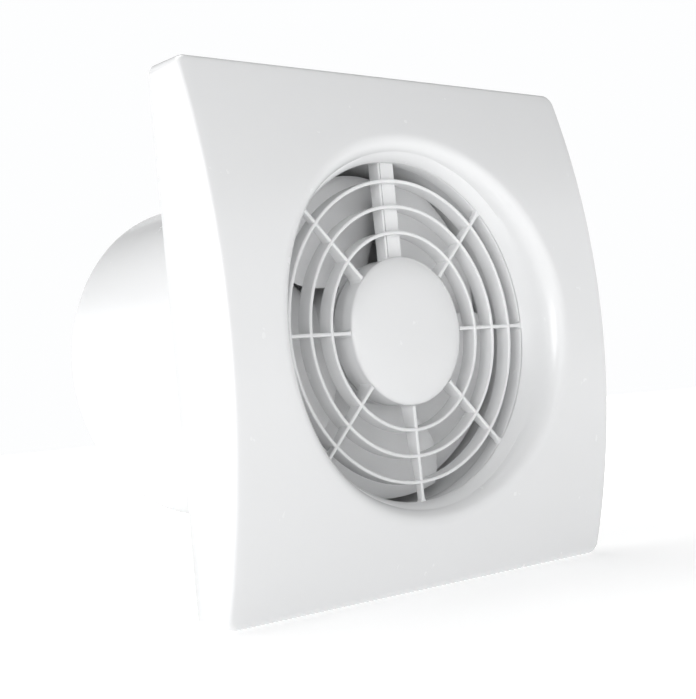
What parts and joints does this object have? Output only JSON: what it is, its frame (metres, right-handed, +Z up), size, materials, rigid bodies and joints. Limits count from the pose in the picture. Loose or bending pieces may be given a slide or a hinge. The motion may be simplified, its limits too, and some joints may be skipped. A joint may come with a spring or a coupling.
{
  "type": "axial extract fan",
  "caption": "Wall extract fan: square bowed cover with a round mouth, ringed guard, domed motor cap, paddle impeller, duct spigot and back-draught shutter.",
  "frame": {"origin": "on the duct's axis, at the plane of the wall that the body's back lies on", "axes": "+Z up, -Y into the room, +Y into the duct, +X to the right as seen from the room"},
  "size_m": [0.176, 0.1335, 0.176],
  "materials": {
    "gloss_white": "smooth glossy moulded ABS",
    "inner_white": "fine satin moulded ABS",
    "impeller_white": "satin moulded ABS",
    "steel": "zinc plated",
    "iron": "varnished laminations",
    "copper": "enamelled winding wire",
    "bronze": "oiled sintered bronze",
    "rubber": "matt",
    "nylon": "satin",
    "lead_sheath": "smooth PVC"
  },
  "bodies": {
    "fan_body": {"bearing_front": "bronze", "bearing_rear": "bronze", "cable_clamp": "nylon", "cable_grommet": "rubber", "clamp_screw_1": "steel", "clamp_screw_2": "steel", "fan_body": "gloss_white", "guard_screw_1": "steel", "guard_screw_2": "steel", "guard_screw_3": "steel", "guard_screw_4": "steel", "inlet_guard": "gloss_white", "motor_dome_cap": "gloss_white", "motor_front_shield": "steel", "motor_lead": "lead_sheath", "motor_rear_shield": "steel", "motor_screw_1": "steel", "motor_screw_2": "steel", "motor_screw_3": "steel", "rubber_mount_1": "rubber", "rubber_mount_2": "rubber", "rubber_mount_3": "rubber", "shutter_frame": "inner_white", "shutter_pin": "steel", "stator_core": "iron", "terminal_block": "nylon", "terminal_screw_1": "steel", "terminal_screw_2": "steel", "terminal_screw_3": "steel", "winding_front": "copper", "winding_rear": "copper", "wire_channel_cover": "inner_white"},
    "front_cover": {"front_cover": "gloss_white"},
    "rotor": {"impeller": "impeller_white", "motor_shaft": "steel", "rotor_core": "iron", "thrust_washer_front": "steel", "thrust_washer_rear": "steel", "impeller_nut": "steel"},
    "flap_left": {"shutter_flap_left": "inner_white", "shutter_spring_left": "steel"},
    "flap_right": {"shutter_flap_right": "inner_white", "shutter_spring_right": "steel"}
  },
  "joints": [
    {"name": "impeller_spin", "type": "hinge", "parent": "fan_body", "child": "rotor", "pos_m": [0, 0, 0], "axis": [0, -1, 0], "continuous": true},
    {"name": "flap_left_swing", "type": "hinge", "parent": "fan_body", "child": "flap_left", "pos_m": [0, 0.044, 0], "axis": [0, 0, -1], "range_deg": [0, 75], "stiffness_Nm_per_rad": 0.002, "springref_deg": -22.92},
    {"name": "flap_right_swing", "type": "hinge", "parent": "fan_body", "child": "flap_right", "pos_m": [0, 0.044, 0], "axis": [0, 0, 1], "range_deg": [0, 75], "stiffness_Nm_per_rad": 0.002, "springref_deg": -22.92},
    {"name": "cover_pull", "type": "slide", "parent": "fan_body", "child": "front_cover", "axis": [0, -1, 0], "range_m": [0, 0.06]}
  ]
}
